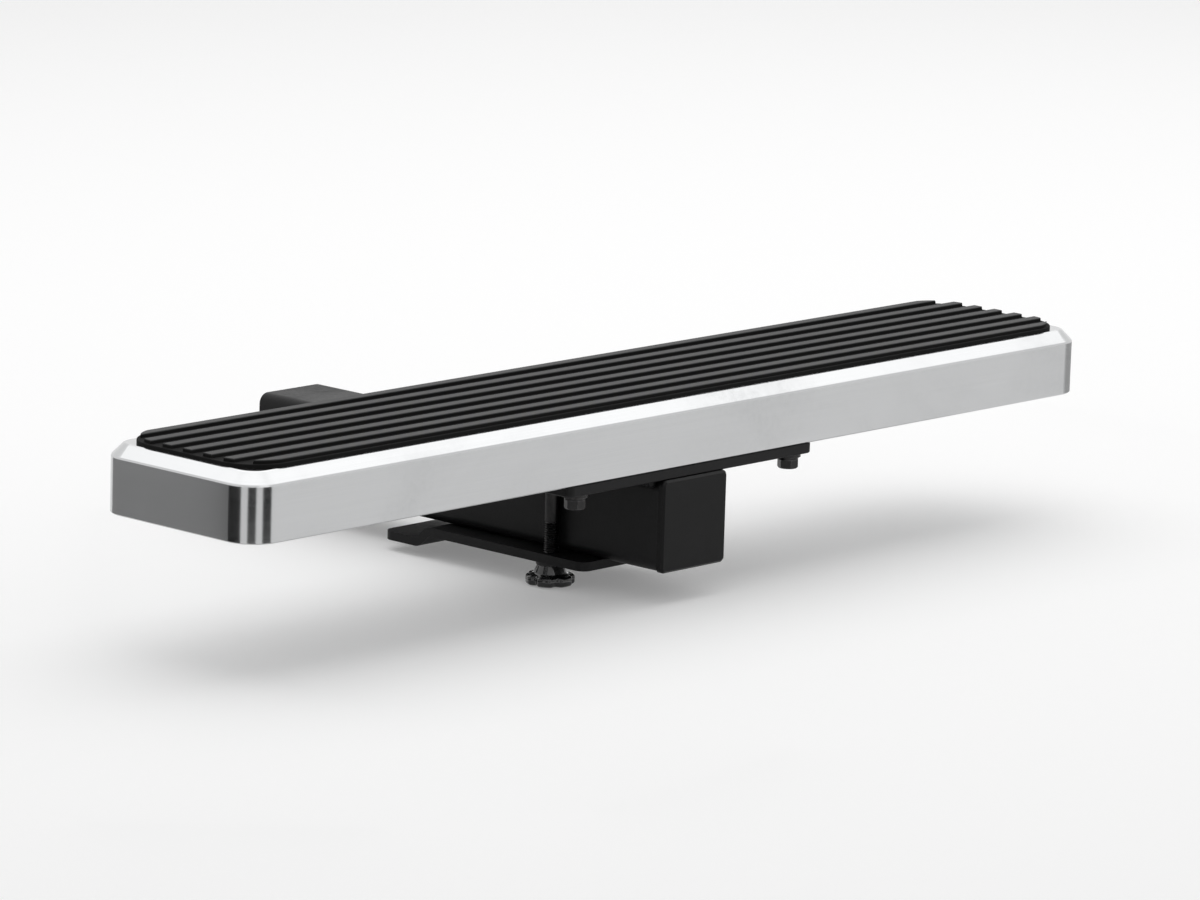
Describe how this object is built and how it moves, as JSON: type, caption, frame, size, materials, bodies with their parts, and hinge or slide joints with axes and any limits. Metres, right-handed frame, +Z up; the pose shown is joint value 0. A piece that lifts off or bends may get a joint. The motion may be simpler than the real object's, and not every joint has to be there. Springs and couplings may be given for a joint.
{
  "type": "hitch receiver step",
  "caption": "Ribbed tread board with chamfered, rounded ends on a square receiver shank, bolted to welded cross bars, with a U-bolt clamp and a hand knob that take up play in the receiver.",
  "frame": {"origin": "centre of the shank's hitch-pin hole, on the axis of the shank", "axes": "+X along the pin hole and the board, +Y along the shank into the receiver, +Z up to the tread"},
  "size_m": [0.66, 0.3115, 0.1148],
  "materials": {
    "bright_aluminium": "bright brushed and clear coated",
    "tread_rubber": "moulded, satin rib tops",
    "black_powder_coat": "satin black powder coat on steel",
    "black_hardware": "black oxide steel",
    "black_plastic": "moulded black nylon",
    "insert_brass": "turned brass"
  },
  "bodies": {
    "step": {"deck_extrusion": "bright_aluminium", "left_end_cap": "bright_aluminium", "right_end_cap": "bright_aluminium", "end_cap_screws": "black_hardware", "tread_pad": "tread_rubber", "shank_tube": "black_powder_coat", "shank_end_plug": "black_plastic", "rear_cross_bar": "black_powder_coat", "front_cross_bar": "black_powder_coat", "weld_beads": "black_powder_coat", "rail_bolts": "black_hardware", "flat_washers": "black_hardware", "lock_washers": "black_hardware", "hex_nuts": "black_hardware", "clamp_u_bolt": "black_hardware", "clamp_plate": "black_powder_coat", "clamp_washers": "black_hardware", "clamp_nut": "black_hardware"},
    "left_knob": {"left_clamp_knob": "black_plastic", "left_knob_insert": "insert_brass"}
  },
  "joints": [
    {"name": "left_knob_turn", "type": "hinge", "parent": "step", "child": "left_knob", "pos_m": [-0.0297, -0.174, -0.04], "axis": [0, 0, 1], "continuous": true}
  ]
}
